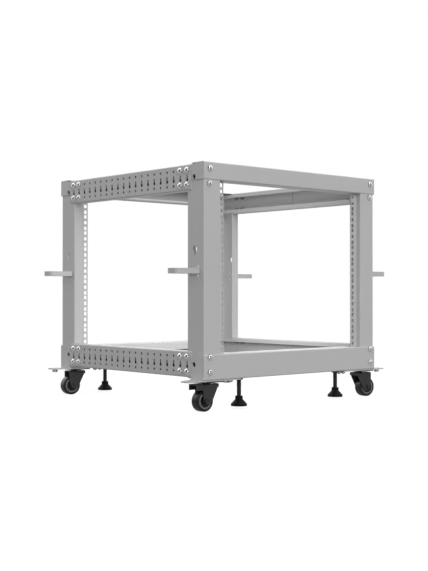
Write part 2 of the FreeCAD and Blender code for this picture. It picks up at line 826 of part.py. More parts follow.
def makeFoot():
    """A levelling foot: its threaded stud, and the pad that the stud is pressed into."""
    padBottom = "footLift"
    rimTop = f"({padBottom} + footPadRim)"
    coneTop = f"({rimTop} + footConeHeight)"
    collarTop = f"({coneTop} + footCollarHeight)"
    socket = f"({collarTop} - footSocket)"
    cone = doc.addObject("Part::Cone", "FootCone")
    bind(cone, "Radius1", "footPadDiameter / 2")
    bind(cone, "Radius2", "footCollarDiameter / 2")
    bind(cone, "Height", "footConeHeight")
    bind(cone, "Placement.Base.z", rimTop)
    solid = joined("FootPadSolid", [
        turned("FootRim", "footPadDiameter / 2", padBottom, rimTop),
        cone,
        turned("FootCollar", "footCollarDiameter / 2", coneTop, collarTop),
    ])
    stud = turned("FootStudMaster", "footStud / 2", socket,
                  f"{underside} + footStudReach")
    hole = turned("FootSocket", "footStud / 2", socket, f"{collarTop} + overcut")
    return stud, without("FootPadMaster", solid, hole)


def placed(name, source, x, y, z="0", angle="0"):
    """A copy of a piece, moved to its place and turned about its own upright axis."""
    copy = doc.addObject("Part::Compound", name)
    copy.Links = [source]
    bind(copy, "Placement.Base.x", x)
    bind(copy, "Placement.Base.y", y)
    bind(copy, "Placement.Base.z", z)
    bind(copy, "Placement.Rotation.Angle", angle)
    return copy


def reflected(name, source, normal):
    copy = doc.addObject("Part::Mirroring", name)
    copy.Source = source
    copy.Normal = normal
    return copy


acrossX = FreeCAD.Vector(1, 0, 0)
acrossY = FreeCAD.Vector(0, 1, 0)
corners = [
    ("front_left", "frontLeftTurn", -1, -1),
    ("front_right", "frontRightTurn", 1, -1),
    ("rear_left", "rearLeftTurn", -1, 1),
    ("rear_right", "rearRightTurn", 1, 1),
]
nodes = {}


def quarter(name, master, sideX, sideY):
    """The copy of a rear right piece that belongs to one corner."""
    piece = master
    if sideX < 0:
        piece = reflected(name + "AcrossX", piece, acrossX)
    if sideY < 0:
        piece = reflected(name + "AcrossY", piece, acrossY)
    return placed(name, piece, "0", "0")


def signed(side, place):
    return place if side > 0 else f"0 - {place}"


railLift = f"{highRail} - {lowRail}"
post = makePost()
ring = makeRing()
cornerPlate = makeCornerPlate()
head = makeCasterHead()
fork = makeFork()
wheel = makeWheel()
brake = makeBrake()
stud, footPad = makeFoot()
innerRail = makeInnerRail()
upperInnerRail = placed("UpperInnerRail", innerRail, "0", "0", railLift)

for corner, turn, sideX, sideY in corners:
    quarters = {
        "post": post,
        "bottom_inner_rail": innerRail,
        "top_inner_rail": upperInnerRail,
        "cable_ring": ring,
        "corner_plate": cornerPlate,
    }
    for piece, master in quarters.items():
        node = f"{corner}_{piece}"
        nodes[node] = quarter(node, master, sideX, sideY)
    facing = "0" if sideX > 0 else "180"
    spot = (signed(sideX, casterX), signed(sideY, casterY))
    node = f"{corner}_caster_head"
    nodes[node] = placed(node, head, *spot)
    swivelling = {"caster_fork": fork, "caster_wheel": wheel}
    if sideX == sideY:
        swivelling["brake_lever"] = brake
    for piece, master in swivelling.items():
        node = f"{corner}_{piece}"
        nodes[node] = placed(node, master, *spot, angle=f"{facing} + {turn}")
    spot = (signed(sideX, footX), signed(sideY, footY))
    for piece, master in {"foot_stud": stud, "foot_pad": footPad}.items():
        node = f"{corner}_{piece}"
        nodes[node] = placed(node, master, *spot)

for level, master in {"top": makeTopBeam(), "bottom": makeBottomBeam()}.items():
    nodes[f"rear_{level}_beam"] = quarter(f"rear_{level}_beam", master, 1, 1)
    nodes[f"front_{level}_beam"] = quarter(f"front_{level}_beam", master, 1, -1)

rail = makeRail()
upperRail = placed("UpperRail", rail, "0", "0", railLift)
for level, master in {"bottom": rail, "top": upperRail}.items():
    nodes[f"right_{level}_rail"] = quarter(f"right_{level}_rail", master, 1, 1)
    nodes[f"left_{level}_rail"] = quarter(f"left_{level}_rail", master, -1, 1)

doc.recompute()
for item in doc.Objects:
    if "Invalid" in item.State or "Error" in item.State:
        raise RuntimeError(item.Name + " failed")
for node, item in nodes.items():
    item.Label = node
    if item.Shape.isNull() or not item.Shape.isValid() or not item.Shape.Solids:
        raise RuntimeError(node + " has no valid solid")
for node, item in nodes.items():
    item.Shape.exportStep(f"parts/{node}.step")
print(len(nodes), "nodes")
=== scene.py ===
import json
import math
import bmesh
import bpy
from mathutils import Matrix, Vector


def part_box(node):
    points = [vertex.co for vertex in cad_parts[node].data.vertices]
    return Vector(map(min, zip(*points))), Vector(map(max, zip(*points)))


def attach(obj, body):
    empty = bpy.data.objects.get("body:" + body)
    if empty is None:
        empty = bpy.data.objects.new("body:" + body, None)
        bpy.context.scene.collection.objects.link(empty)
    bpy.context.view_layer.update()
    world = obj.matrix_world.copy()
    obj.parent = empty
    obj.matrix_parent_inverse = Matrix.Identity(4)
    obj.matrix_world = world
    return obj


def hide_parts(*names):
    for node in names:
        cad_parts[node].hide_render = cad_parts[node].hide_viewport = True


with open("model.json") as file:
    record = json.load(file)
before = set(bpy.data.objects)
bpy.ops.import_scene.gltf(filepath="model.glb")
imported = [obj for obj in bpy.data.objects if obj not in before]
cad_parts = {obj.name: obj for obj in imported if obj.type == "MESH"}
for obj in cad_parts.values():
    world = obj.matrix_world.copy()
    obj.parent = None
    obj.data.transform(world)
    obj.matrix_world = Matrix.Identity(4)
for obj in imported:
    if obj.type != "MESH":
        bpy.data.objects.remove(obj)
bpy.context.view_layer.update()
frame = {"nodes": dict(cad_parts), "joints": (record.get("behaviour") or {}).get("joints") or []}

scene = bpy.context.scene
scene.view_settings.view_transform = "Standard"
nodes = frame["nodes"]
joints = {joint["name"]: joint for joint in frame["joints"]}
cornerNames = ["front_left", "front_right", "rear_left", "rear_right"]


def clearSelection():
    if bpy.context.object and bpy.context.object.mode != "OBJECT":
        bpy.ops.object.mode_set(mode="OBJECT")
    bpy.ops.object.select_all(action="DESELECT")


def pick(piece):
    clearSelection()
    piece.select_set(True)
    bpy.context.view_layer.objects.active = piece


def camelName(words):
    first, *rest = words.split("_")
    return first + "".join(word.capitalize() for word in rest)


# camera, lamps, floor and backdrop

cameraSettings = {
    "place": (-1.8794, -2.1380, 0.2769),
    "turn": 41.20,
    "tilt": 0.37,
    "lens": 66.5,
    "sensor": 36.0,
}

lightSettings = {
    "frontTurn": (70.0, 0.0, -15.0),
    "frontPower": 1.08,
    "frontSoftness": 40.0,
    "overheadPlace": (0.0, -0.15, 2.3),
    "overheadSize": 2.0,
    "overheadPower": 8.0,
    "insidePlace": (0.0, -0.02, 0.24),
    "insideRadius": 0.12,
    "insidePower": 1.9,
    "skyLevel": 0.57,
    "brightSide": (0.51, 0.61, 0.61),
    "brightFrom": 0.12,
    "brightTo": 0.55,
    "brightLow": 0.03,
    "brightHigh": 1.9,
    "floorColor": 0.20,
    "floorGlow": 0.88,
    "floorSheen": 0.28,
    "floorRough": 0.9,
    "floorSize": 14.0,
}


def addCamera():
    data = bpy.data.cameras.new("viewCamera")
    data.lens = cameraSettings["lens"]
    data.sensor_width = cameraSettings["sensor"]
    camera = bpy.data.objects.new("viewCamera", data)
    scene.collection.objects.link(camera)
    camera.location = cameraSettings["place"]
    tilt = math.radians(90 + cameraSettings["tilt"])
    camera.rotation_euler = (tilt, 0.0, -math.radians(cameraSettings["turn"]))
    scene.camera = camera


def scaled(tree, source, low, high):
    level = tree.nodes.new("ShaderNodeMapRange")
    level.inputs["To Min"].default_value = low
    level.inputs["To Max"].default_value = high
    tree.links.new(source, level.inputs["Value"])
    return level


def blended(tree, factor, plain, chosen):
    mix = tree.nodes.new("ShaderNodeMix")
    for name, value in (("Factor", factor), ("A", plain), ("B", chosen)):
        if isinstance(value, float):
            mix.inputs[name].default_value = value
        else:
            tree.links.new(value, mix.inputs[name])
    return mix.outputs["Result"]


def addLamp(name, kind, place=(0, 0, 0), turn=(0, 0, 0)):
    data = bpy.data.lights.new(name + "Light", kind)
    data.energy = lightSettings[name + "Power"]
    lamp = bpy.data.objects.new(name + "Light", data)
    lamp.location = place
    lamp.rotation_euler = [math.radians(angle) for angle in turn]
    scene.collection.objects.link(lamp)
    return lamp


def addLights():
    values = lightSettings
    front = addLamp("front", "SUN", turn=values["frontTurn"])
    front.data.angle = math.radians(values["frontSoftness"])
    overhead = addLamp("overhead", "AREA", values["overheadPlace"])
    overhead.data.size = values["overheadSize"]
    inside = addLamp("inside", "POINT", values["insidePlace"])
    inside.data.shadow_soft_size = values["insideRadius"]
    inside.visible_camera = False
    inside.visible_glossy = False


def addRoom():
    # polished parts mirror one bright side of the room, and the camera sees plain white
    values = lightSettings
    world = bpy.data.worlds.new("paleRoom")
    world.use_nodes = True
    tree = world.node_tree
    background = tree.nodes["Background"]
    background.inputs["Color"].default_value = (1, 1, 1, 1)
    path = tree.nodes.new("ShaderNodeLightPath")
    place = tree.nodes.new("ShaderNodeTexCoord")
    towards = tree.nodes.new("ShaderNodeVectorMath")
    towards.operation = "DOT_PRODUCT"
    towards.inputs[1].default_value = values["brightSide"]
    tree.links.new(place.outputs["Generated"], towards.inputs[0])
    mirrored = scaled(tree, towards.outputs["Value"], values["brightLow"], values["brightHigh"])
    mirrored.inputs["From Min"].default_value = values["brightFrom"]
    mirrored.inputs["From Max"].default_value = values["brightTo"]
    level = blended(tree, path.outputs["Is Glossy Ray"], values["skyLevel"],
                    mirrored.outputs["Result"])
    level = blended(tree, path.outputs["Is Camera Ray"], level, 1.0)
    tree.links.new(level, background.inputs["Strength"])
    scene.world = world


def addFloor():
    clearSelection()
    bpy.ops.mesh.primitive_plane_add(size=lightSettings["floorSize"], location=(0, 0, 0))
    floor = bpy.context.object
    floor.name = "paleFloor"
    material = bpy.data.materials.new("paleFloor")
    material.use_nodes = True
    tree = material.node_tree
    shader = tree.nodes["Principled BSDF"]
    level = lightSettings["floorColor"]
    shader.inputs["Base Color"].default_value = (level, level, level, 1)
    shader.inputs["Roughness"].default_value = lightSettings["floorRough"]
    shader.inputs["Specular IOR Level"].default_value = 0.0
    shader.inputs["Emission Color"].default_value = (1, 1, 1, 1)
    path = tree.nodes.new("ShaderNodeLightPath")
    glow = blended(tree, path.outputs["Is Glossy Ray"], 0.0, lightSettings["floorSheen"])
    glow = blended(tree, path.outputs["Is Camera Ray"], glow, lightSettings["floorGlow"])
    tree.links.new(glow, shader.inputs["Emission Strength"])
    floor.data.materials.append(material)


addCamera()
addLights()
addRoom()
addFloor()
print("camera, lights and floor are ready")


# materials

def makeGrainGroup():
    group = bpy.data.node_groups.new("finishGrain", "ShaderNodeTree")
    sockets = group.interface
    for name, low, high in (
        ("Grain Size", 900.0, 5000.0), ("Patch Size", 9.0, 100.0), ("Spread", 0.03, 1.0),
        ("Roughness", 0.5, 1.0), ("Roughness Spread", 0.05, 1.0),
    ):
        socket = sockets.new_socket(name=name, in_out="INPUT", socket_type="NodeSocketFloat")
        socket.default_value = low
        socket.max_value = high
    sockets.new_socket(name="Color", in_out="INPUT", socket_type="NodeSocketColor")
    sockets.new_socket(name="Color", in_out="OUTPUT", socket_type="NodeSocketColor")
    sockets.new_socket(name="Roughness", in_out="OUTPUT", socket_type="NodeSocketFloat")
    sockets.new_socket(name="Height", in_out="OUTPUT", socket_type="NodeSocketFloat")
    make, link = group.nodes.new, group.links.new
    given, result = make("NodeGroupInput"), make("NodeGroupOutput")
    place = make("ShaderNodeTexCoord")
    grain, patch = make("ShaderNodeTexNoise"), make("ShaderNodeTexNoise")
    grain.inputs["Detail"].default_value = 2.0
    patch.inputs["Detail"].default_value = 3.0
    for noise, size in ((grain, "Grain Size"), (patch, "Patch Size")):
        link(place.outputs["Object"], noise.inputs["Vector"])
        link(given.outputs[size], noise.inputs["Scale"])
    mixed = make("ShaderNodeMath")
    mixed.operation = "ADD"
    link(grain.outputs["Fac"], mixed.inputs[0])
    link(patch.outputs["Fac"], mixed.inputs[1])
    centred = make("ShaderNodeMath")
    centred.operation = "SUBTRACT"
    centred.inputs[1].default_value = 1.0
    link(mixed.outputs[0], centred.inputs[0])
    shade = make("ShaderNodeMath")
    shade.operation = "MULTIPLY_ADD"
    shade.inputs[2].default_value = 1.0
    link(centred.outputs[0], shade.inputs[0])
    link(given.outputs["Spread"], shade.inputs[1])
    tinted = make("ShaderNodeVectorMath")
    tinted.operation = "SCALE"
    link(given.outputs["Color"], tinted.inputs[0])
    link(shade.outputs[0], tinted.inputs["Scale"])
    rough = make("ShaderNodeMath")
    rough.operation = "MULTIPLY_ADD"
    link(centred.outputs[0], rough.inputs[0])
    link(given.outputs["Roughness Spread"], rough.inputs[1])
    link(given.outputs["Roughness"], rough.inputs[2])
    link(tinted.outputs["Vector"], result.inputs["Color"])
    link(rough.outputs[0], result.inputs["Roughness"])
    link(grain.outputs["Fac"], result.inputs["Height"])
    return group


def makePaintedShadeMaskGroup():
    # marks where painted shade goes: the faces that look straight out to the left
    # or right, no further from the middle than the reach, and within a band about
    # the middle level
    group = bpy.data.node_groups.new("paintedShadeMask", "ShaderNodeTree")
    for name in ("Reach", "Middle", "Band From", "Band To"):
        group.interface.new_socket(name=name, in_out="INPUT", socket_type="NodeSocketFloat")
    group.interface.new_socket(name="Mask", in_out="OUTPUT", socket_type="NodeSocketFloat")
    make, link = group.nodes.new, group.links.new
    given, result = make("NodeGroupInput"), make("NodeGroupOutput")
    place, shape = make("ShaderNodeTexCoord"), make("ShaderNodeNewGeometry")
    placeParts, normalParts = make("ShaderNodeSeparateXYZ"), make("ShaderNodeSeparateXYZ")
    link(place.outputs["Object"], placeParts.inputs[0])
    link(shape.outputs["Normal"], normalParts.inputs[0])

    def step(operation, first, second=None):
        node = make("ShaderNodeMath")
        node.operation = operation
        link(first, node.inputs[0])
        if isinstance(second, float):
            node.inputs[1].default_value = second
        elif second is not None:
            link(second, node.inputs[1])
        return node.outputs[0]

    outward = step("MULTIPLY", step("SIGN", placeParts.outputs["X"]), normalParts.outputs["X"])
    level = step("ABSOLUTE", step("SUBTRACT", placeParts.outputs["Z"], given.outputs["Middle"]))
    depth = step("ABSOLUTE", placeParts.outputs["Y"])
    mask = step("GREATER_THAN", outward, 0.9)
    for test in (
        step("LESS_THAN", depth, given.outputs["Reach"]),
        step("GREATER_THAN", level, given.outputs["Band From"]),
        step("LESS_THAN", level, given.outputs["Band To"]),
    ):
        mask = step("MULTIPLY", mask, test)
    link(mask, result.inputs["Mask"])
    return group


grainGroup = makeGrainGroup()
paintedShadeMaskGroup = makePaintedShadeMaskGroup()

greyCoat = {
    "color": (0.60, 0.60, 0.605), "grain": 1400.0, "patch": 7.0, "spread": 0.05,
    "rough": 0.46, "roughSpread": 0.10, "bump": 0.05, "depth": 0.0002, "metal": 0.0,
}

# painted shade: what lies behind the rails' slots is painted near-black, standing
# in for the shade there: the inner rails' webs and, at the rails' ends, a band
# on the posts' side walls
slotShade = (0.010, 0.010, 0.011)
wholePiece = {"Reach": 1.0, "Middle": 0.0, "Band From": 0.0, "Band To": 1.0}
behindRails = {"Reach": 0.2520, "Middle": 0.3273, "Band From": 0.1890, "Band To": 0.2485}

finishes = {
    "greyPowderCoat": greyCoat,
    # the inner rails and the posts carry the painted slot shade on top of the grey coat
    "innerRailCoatAndPaintedShade": {**greyCoat, "paintedShadeColor": slotShade, "band": wholePiece},
    "postCoatAndPaintedShade": {**greyCoat, "paintedShadeColor": slotShade, "band": behindRails},
    "darkForkPaint": {
        "color": (0.038, 0.038, 0.040), "grain": 1600.0, "patch": 40.0, "spread": 0.20,
        "rough": 0.42, "roughSpread": 0.15, "bump": 0.05, "depth": 0.0002, "metal": 0.0,
    },
    "blackPlatePaint": {
        "color": (0.012, 0.012, 0.013), "grain": 1500.0, "patch": 30.0, "spread": 0.25,
        "rough": 0.40, "roughSpread": 0.15, "bump": 0.05, "depth": 0.0002, "metal": 0.0,
    },
    "tyreRubber": {
        "color": (0.005, 0.005, 0.005), "grain": 2200.0, "patch": 60.0, "spread": 0.35,
        "rough": 0.36, "roughSpread": 0.15, "bump": 0.10, "depth": 0.0003, "metal": 0.0,
    },
    "greyWheelRing": {
        "color": (0.175, 0.175, 0.175), "grain": 1500.0, "patch": 60.0, "spread": 0.15,
        "rough": 0.45, "roughSpread": 0.10, "bump": 0.05, "depth": 0.0002, "metal": 0.0,
    },
    # the hub disc is coloured near-black, far darker than the ring; part of this darkness is
    # painted shade standing in for the shade inside the wheel's recess
    "darkWheelDisc": {
        "color": (0.012, 0.012, 0.0125), "grain": 1500.0, "patch": 60.0, "spread": 0.20,
        "rough": 0.45, "roughSpread": 0.10, "bump": 0.05, "depth": 0.0002, "metal": 0.0,
        "shine": 0.25,
    },
    "zincPlate": {
        "color": (0.78, 0.78, 0.79), "grain": 1800.0, "patch": 120.0, "spread": 0.12,
        "rough": 0.24, "roughSpread": 0.15, "bump": 0.04, "depth": 0.0001, "metal": 1.0,
    },
    # painted light: a pale, non-metal copy of the zinc, brightened so the caster head bolts read
    # as lit in the shaded gap under the head plate
    "paintedLitZinc": {
        "color": (0.80, 0.80, 0.81), "grain": 1800.0, "patch": 120.0, "spread": 0.12,
        "rough": 0.34, "roughSpread": 0.12, "bump": 0.04, "depth": 0.0001, "metal": 0.0,
    },
    "dullZinc": {
        "color": (0.42, 0.42, 0.43), "grain": 1800.0, "patch": 120.0, "spread": 0.20,
        "rough": 0.38, "roughSpread": 0.15, "bump": 0.04, "depth": 0.0001, "metal": 1.0,
    },
    "blackOxide": {
        "color": (0.024, 0.024, 0.025), "grain": 1800.0, "patch": 90.0, "spread": 0.25,
        "rough": 0.50, "roughSpread": 0.15, "bump": 0.05, "depth": 0.0001, "metal": 0.0,
    },
    "footPlastic": {
        "color": (0.006, 0.006, 0.006), "grain": 1300.0, "patch": 50.0, "spread": 0.20,
        "rough": 0.50, "roughSpread": 0.12, "bump": 0.08, "depth": 0.0003, "metal": 0.0,
        "shine": 0.15,
    },
}


def makeFinish(finish):
    values = finishes[finish]
    material = bpy.data.materials.new(finish)
    material.use_nodes = True
    tree = material.node_tree
    shader = tree.nodes["Principled BSDF"]
    grain = tree.nodes.new("ShaderNodeGroup")
    grain.node_tree = grainGroup
    grain.inputs["Color"].default_value = (*values["color"], 1.0)
    grain.inputs["Grain Size"].default_value = values["grain"]
    grain.inputs["Patch Size"].default_value = values["patch"]
    grain.inputs["Spread"].default_value = values["spread"]
    grain.inputs["Roughness"].default_value = values["rough"]
    grain.inputs["Roughness Spread"].default_value = values["roughSpread"]
    bump = tree.nodes.new("ShaderNodeBump")
    bump.inputs["Strength"].default_value = values["bump"]
    bump.inputs["Distance"].default_value = values["depth"]
    shader.inputs["Metallic"].default_value = values["metal"]
    shader.inputs["Specular IOR Level"].default_value = values.get("shine", 0.5)
    color = grain.outputs["Color"]
    # painted shade: faces picked by the mask take the dark shade colour instead of the coat's
    # colour
    if "paintedShadeColor" in values:
        side = tree.nodes.new("ShaderNodeGroup")
        side.node_tree = paintedShadeMaskGroup
        for name, value in values["band"].items():
            side.inputs[name].default_value = value
        mix = tree.nodes.new("ShaderNodeMixRGB")
        mix.inputs["Color2"].default_value = (*values["paintedShadeColor"], 1.0)
        tree.links.new(side.outputs["Mask"], mix.inputs["Fac"])
        tree.links.new(color, mix.inputs["Color1"])
        color = mix.outputs["Color"]
    tree.links.new(color, shader.inputs["Base Color"])
    tree.links.new(grain.outputs["Roughness"], shader.inputs["Roughness"])
    tree.links.new(grain.outputs["Height"], bump.inputs["Height"])
    tree.links.new(bump.outputs["Normal"], shader.inputs["Normal"])
    material.diffuse_color = (*values["color"], 1.0)
    return material


materials = {name: makeFinish(name) for name in finishes}

nodeFinishes = {
    "post": "postCoatAndPaintedShade",
    "inner_rail": "innerRailCoatAndPaintedShade",
    "caster_head": "blackPlatePaint",
    "caster_fork": "darkForkPaint",
    "brake_lever": "darkForkPaint",
    "caster_wheel": "tyreRubber",
    "foot_stud": "blackOxide",
    "foot_pad": "footPlastic",
}


def paintNodes():
    for name, node in nodes.items():
        finish = "greyPowderCoat"
        for ending, other in nodeFinishes.items():
            if name.endswith(ending):
                finish = other
        for materialSlot in node.material_slots:
            materialSlot.material = materials[finish]


paintNodes()
print("materials are on the carried pieces")


# shared modelling steps

faceTolerance = 1e-5  # metres
edgeTolerance = 1e-6
facingLimit = 0.99


def newCylinder(name, radius, low, high, sides):
    clearSelection()
    bpy.ops.mesh.primitive_cylinder_add(
        vertices=sides, radius=radius, depth=high - low, location=(0, 0, (low + high) / 2))
    piece = bpy.context.object
    piece.name = name
    bpy.ops.object.transform_apply(location=True, rotation=False, scale=False)
    return piece


def chooseFaces(piece, wanted):
    bpy.ops.mesh.select_mode(type="FACE")
    bpy.ops.mesh.select_all(action="DESELECT")
    mesh = bmesh.from_edit_mesh(piece.data)
    for face in mesh.faces:
        if wanted(face):
            face.select_set(True)
    bmesh.update_edit_mesh(piece.data)


def chooseEdges(piece, wanted):
    bpy.ops.mesh.select_mode(type="EDGE")
    bpy.ops.mesh.select_all(action="DESELECT")
    mesh = bmesh.from_edit_mesh(piece.data)
    for edge in mesh.edges:
        if wanted(edge):
            edge.select_set(True)
    bmesh.update_edit_mesh(piece.data)


def endFace(piece, side):
    # the cap furthest out on one side, looking along Z
    centres = [face.center.z * side for face in piece.data.polygons
               if face.normal.z * side > facingLimit and len(face.vertices) > 4]
    reach = max(centres)
    return lambda face: (face.normal.z * side > facingLimit and len(face.verts) > 4
                         and abs(face.calc_center_median().z * side - reach) < faceTolerance)


def stepEnd(piece, side, steps):
    # each step insets the cap and then raises or sinks it
    pick(piece)
    wanted = endFace(piece, side)
    bpy.ops.object.mode_set(mode="EDIT")
    chooseFaces(piece, wanted)
    for inset, rise in steps:
        bpy.ops.mesh.inset(thickness=inset, depth=0.0)
        if rise:
            bpy.ops.transform.translate(value=(0, 0, rise * side))
    bpy.ops.object.mode_set(mode="OBJECT")


def bevelEdges(piece, wanted, width, segments):
    pick(piece)
    bpy.ops.object.mode_set(mode="EDIT")
    chooseEdges(piece, wanted)
    bpy.ops.mesh.bevel(offset=width, segments=segments, affect="EDGES")
    bpy.ops.object.mode_set(mode="OBJECT")


def rimEdges(level):
    return lambda edge: all(abs(vert.co.z - level) < edgeTolerance for vert in edge.verts)


def smooth(piece, angle=35.0):
    pick(piece)
    bpy.ops.object.shade_smooth_by_angle(angle=math.radians(angle))


def copyPiece(piece, name, matrix):
    mesh = piece.data.copy()
    mesh.transform(matrix)
    mesh.name = name
    copy = bpy.data.objects.new(name, mesh)
    scene.collection.objects.link(copy)
    return copy


def joinPieces(name, pieces):
    clearSelection()
    for piece in pieces:
        piece.select_set(True)
    bpy.context.view_layer.objects.active = pieces[0]
    if len(pieces) > 1:
        bpy.ops.object.join()
    whole = bpy.context.object
    whole.name = name
    whole.data.name = name
    return whole


def dress(piece, finish, body):
    piece.data.materials.clear()
    piece.data.materials.append(materials[finish])
    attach(piece, body)
    return piece


def removePiece(piece):
    bpy.data.objects.remove(piece, do_unlink=True)


def facing(direction, spot):
    # places a piece made along +Z so that it points in a direction
    turn = Vector(direction).to_track_quat("Z", "Y").to_matrix().to_4x4()
    return Matrix.Translation(spot) @ turn


# screws that hold the rails and beams

screwSettings = {
    "washerRadius": 0.0080,
    "washerThick": 0.0007,
    "washerBevel": 0.0002,
    "sides": 28,
    "headRadius": 0.0068,
    "headRim": 0.0008,
    "dome": [(0.0004, 0.0013), (0.0009, 0.0011), (0.0014, 0.0008), (0.0016, 0.0003)],
    "recess": [(0.0003, -0.0014)],
    "fromRailEnd": 0.0155,
    "pitch": 0.025,
    "rise": 0.0175,
    "beamInset": 0.018,
}


def makeScrew():
    values = screwSettings
    thick, sides = values["washerThick"], values["sides"]
    seat = newCylinder("screwWasher", values["washerRadius"], 0.0, thick, sides)
    bevelEdges(seat, rimEdges(thick), values["washerBevel"], 2)
    top = thick + values["headRim"]
    head = newCylinder("screwHead", values["headRadius"], thick, top, sides)
    stepEnd(head, 1, values["dome"] + values["recess"])
    screw = joinPieces("screwMaster", [head, seat])
    smooth(screw)
    return screw


def placeScrews():
    values = screwSettings
    master = makeScrew()
    for corner in cornerNames:
        sideX = -1 if "left" in corner else 1
        sideY = -1 if "front" in corner else 1
        side = "left" if sideX < 0 else "right"
        end = "front" if sideY < 0 else "rear"
        copies = []
        for level in ("top", "bottom"):
            railLow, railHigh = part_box(f"{side}_{level}_rail")
            middle = (railLow.z + railHigh.z) / 2
            webX = sideX * max(abs(railLow.x), abs(railHigh.x))
            beamLow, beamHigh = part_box(f"{end}_{level}_beam")
            beamY = sideY * max(abs(beamLow.y), abs(beamHigh.y))
            postLow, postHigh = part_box(f"{corner}_post")
            postY = sideY * max(abs(postLow.y), abs(postHigh.y))
            for rise in (values["rise"], -values["rise"]):
                for step in (0, 1):
                    y = sideY * (railHigh.y - values["fromRailEnd"] - step * values["pitch"])
                    copies.append(copyPiece(master, "railScrew",
                                            facing((sideX, 0, 0), (webX, y, middle + rise))))
                onBeam = beamLow.z < middle + rise < beamHigh.z
                seatY = beamY if onBeam else postY
                x = sideX * (abs(webX) - values["beamInset"])
                copies.append(copyPiece(master, "beamScrew",
                                        facing((0, sideY, 0), (x, seatY, middle + rise))))
        screws = joinPieces(camelName(corner) + "Screws", copies)
        dress(screws, "zincPlate", "frame")
    removePiece(master)


placeScrews()
print("frame screws are placed")


# hexagon bolts and nuts

hexSettings = {
    "smallAcross": 0.0100,
    "smallHeight": 0.0026,
    "headBoltAlong": 0.0126,
    "headPlateThick": 0.0025,
    "plateBoltAcross": 0.0100,
    "plateNutHeight": 0.0050,
    "plateNutStem": 0.0015,
    "plateNutSteps": (0.010, 0.026),
    "plateNutInset": 0.026,
    "railNutAcross": 0.0100,
    "railNutHeight": 0.0050,
    "railNutBack": 0.0020,
    "tongueAcross": 0.0120,
    "tongueHeight": 0.0065,
    "tongueEnd": 0.014,
    "tongueInset": 0.016,
    "chamfer": 0.18,  # share of the height
    "washerSpread": 0.62,  # share of the width across flats
    "washerThick": 0.0010,
    "washerBevel": 0.0003,
    "shankRadius": 0.0030,
    "shankBevel": 0.0005,
    "jamAcross": 0.0170,
    "jamHeight": 0.0050,
    "jamBore": 0.00555,
}


def makeHex(name, across, height):
    radius = across / math.sqrt(3)
    piece = newCylinder(name, radius, 0.0, height, 6)
    bevelEdges(piece, rimEdges(height), height * hexSettings["chamfer"], 2)
    smooth(piece, 20.0)
    return piece


def makeWasheredHex(name, across, height, stem):
    # the head stands on its washer, and a short threaded end stands out of it
    values = hexSettings
    thick = values["washerThick"]
    washer = newCylinder(name + "Washer", across * values["washerSpread"], 0.0, thick, 32)
    bevelEdges(washer, rimEdges(thick), values["washerBevel"], 2)
    head = makeHex(name + "Head", across, height)
    head.data.transform(Matrix.Translation((0, 0, thick)))
    pieces = [head, washer]
    if stem:
        top = thick + height + stem
        end = newCylinder(name + "End", values["shankRadius"], thick + height / 2, top, 20)
        bevelEdges(end, rimEdges(top), values["shankBevel"], 2)
        pieces.append(end)
    whole = joinPieces(name, pieces)
    smooth(whole, 30.0)
    return whole


def placeRailNuts():
    # behind each rail screw, on the inner face of the inner rail
    values, screws = hexSettings, screwSettings
    nut = makeWasheredHex("railNutMaster", values["railNutAcross"], values["railNutHeight"], 0.0)
    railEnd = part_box("left_top_rail")[1].y
    for corner in cornerNames:
        sideX = -1 if "left" in corner else 1
        sideY = -1 if "front" in corner else 1
        copies = []
        for level in ("top", "bottom"):
            low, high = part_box(f"{corner}_{level}_inner_rail")
            x = sideX * (max(abs(low.x), abs(high.x)) - values["railNutBack"])
            for rise in (screws["rise"], -screws["rise"]):
                for step in (0, 1):
                    y = sideY * (railEnd - screws["fromRailEnd"] - step * screws["pitch"])
                    spot = (x, y, (low.z + high.z) / 2 + rise)
                    copies.append(copyPiece(nut, "railNut", facing((-sideX, 0, 0), spot)))
        dress(joinPieces(camelName(corner) + "RailNuts", copies), "dullZinc", "frame")
    removePiece(nut)


def placeHexes():
    values = hexSettings
    headBolt = makeHex("headBoltMaster", values["smallAcross"], values["smallHeight"])
    plateNut = makeWasheredHex("plateNutMaster", values["plateBoltAcross"],
                               values["plateNutHeight"], values["plateNutStem"])
    tongueNut = makeWasheredHex("tongueNutMaster", values["tongueAcross"],
                                values["tongueHeight"], 0.0)
    for corner in cornerNames:
        swivel = Vector(joints[f"{corner}_caster_swivel"]["pos_m"])
        plateLow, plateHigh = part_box(f"{corner}_corner_plate")
        sideX = -1 if "left" in corner else 1
        sideY = -1 if "front" in corner else 1
        underHead = plateLow.z - values["headPlateThick"]
        copies = [
            copyPiece(headBolt, "headBolt",
                      facing((0, 0, -1), (swivel.x, swivel.y + along, underHead)))
            for along in (-values["headBoltAlong"], values["headBoltAlong"])
        ]
        bolts = joinPieces(camelName(corner) + "HeadBolts", copies)
        # painted light: the head bolts take the brightened zinc copy
        dress(bolts, "paintedLitZinc", "frame")
        innerX = min(abs(plateLow.x), abs(plateHigh.x))
        outerX = max(abs(plateLow.x), abs(plateHigh.x))
        outerY = max(abs(plateLow.y), abs(plateHigh.y))
        rowY = sideY * (outerY - values["plateNutInset"])
        copies = [
            copyPiece(plateNut, "plateNut",
                      facing((0, 0, -1), (sideX * (innerX + step), rowY, plateLow.z)))
            for step in values["plateNutSteps"]
        ]
        nuts = joinPieces(camelName(corner) + "PlateNuts", copies)
        dress(nuts, "dullZinc", "frame")
        if f"{corner}_brake_lever" in nodes:
            continue  # the tongues over the brake levers are left without a nut
        spot = (sideX * (outerX - values["tongueEnd"]),
                sideY * (outerY - values["tongueInset"]), plateLow.z)
        nut = copyPiece(tongueNut, camelName(corner) + "TongueNut", facing((0, 0, -1), spot))
        dress(nut, "dullZinc", "frame")
    for master in (headBolt, plateNut, tongueNut):
        removePiece(master)


placeRailNuts()
placeHexes()
print("hexagon bolts and nuts are placed")
